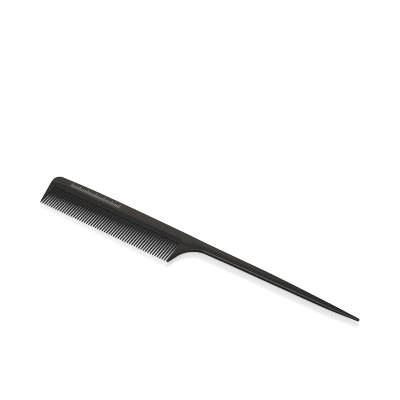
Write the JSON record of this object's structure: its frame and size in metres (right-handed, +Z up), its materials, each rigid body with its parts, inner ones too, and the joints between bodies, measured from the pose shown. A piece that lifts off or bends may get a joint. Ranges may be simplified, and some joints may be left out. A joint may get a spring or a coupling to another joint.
{
  "type": "rat tail comb",
  "caption": "Hairdresser's tail comb: flat spine, one row of fine wedge teeth between guard teeth, curved heel and a long tapering tail with a blunt point.",
  "frame": {"origin": "middle of the comb's length and width, on the plane of its underside when it lies flat", "axes": "+X along the comb from the toe to the point of the tail, +Y from the tooth tips to the back of the spine, +Z up out of the printed face"},
  "size_m": [0.2258, 0.0264, 0.0035],
  "materials": {
    "comb_plastic": "carbon-filled black moulding, satin, slightly glossier on its rounded edges",
    "print_ink": "pad-printed light grey ink"
  },
  "bodies": {
    "root": {"spine": "comb_plastic", "toe_guard_tooth": "comb_plastic", "fine_tooth_01": "comb_plastic", "fine_tooth_02": "comb_plastic", "fine_tooth_03": "comb_plastic", "fine_tooth_04": "comb_plastic", "fine_tooth_05": "comb_plastic", "fine_tooth_06": "comb_plastic", "fine_tooth_07": "comb_plastic", "fine_tooth_08": "comb_plastic", "fine_tooth_09": "comb_plastic", "fine_tooth_10": "comb_plastic", "fine_tooth_11": "comb_plastic", "fine_tooth_12": "comb_plastic", "fine_tooth_13": "comb_plastic", "fine_tooth_14": "comb_plastic", "fine_tooth_15": "comb_plastic", "fine_tooth_16": "comb_plastic", "fine_tooth_17": "comb_plastic", "fine_tooth_18": "comb_plastic", "fine_tooth_19": "comb_plastic", "fine_tooth_20": "comb_plastic", "fine_tooth_21": "comb_plastic", "fine_tooth_22": "comb_plastic", "fine_tooth_23": "comb_plastic", "fine_tooth_24": "comb_plastic", "fine_tooth_25": "comb_plastic", "fine_tooth_26": "comb_plastic", "fine_tooth_27": "comb_plastic", "fine_tooth_28": "comb_plastic", "fine_tooth_29": "comb_plastic", "fine_tooth_30": "comb_plastic", "fine_tooth_31": "comb_plastic", "fine_tooth_32": "comb_plastic", "fine_tooth_33": "comb_plastic", "fine_tooth_34": "comb_plastic", "fine_tooth_35": "comb_plastic", "fine_tooth_36": "comb_plastic", "fine_tooth_37": "comb_plastic", "fine_tooth_38": "comb_plastic", "fine_tooth_39": "comb_plastic", "fine_tooth_40": "comb_plastic", "fine_tooth_41": "comb_plastic", "fine_tooth_42": "comb_plastic", "fine_tooth_43": "comb_plastic", "fine_tooth_44": "comb_plastic", "fine_tooth_45": "comb_plastic", "fine_tooth_46": "comb_plastic", "fine_tooth_47": "comb_plastic", "fine_tooth_48": "comb_plastic", "fine_tooth_49": "comb_plastic", "fine_tooth_50": "comb_plastic", "fine_tooth_51": "comb_plastic", "fine_tooth_52": "comb_plastic", "fine_tooth_53": "comb_plastic", "fine_tooth_54": "comb_plastic", "fine_tooth_55": "comb_plastic", "heel_guard_tooth": "comb_plastic", "shoulder": "comb_plastic", "tail": "comb_plastic"}
  },
  "joints": []
}
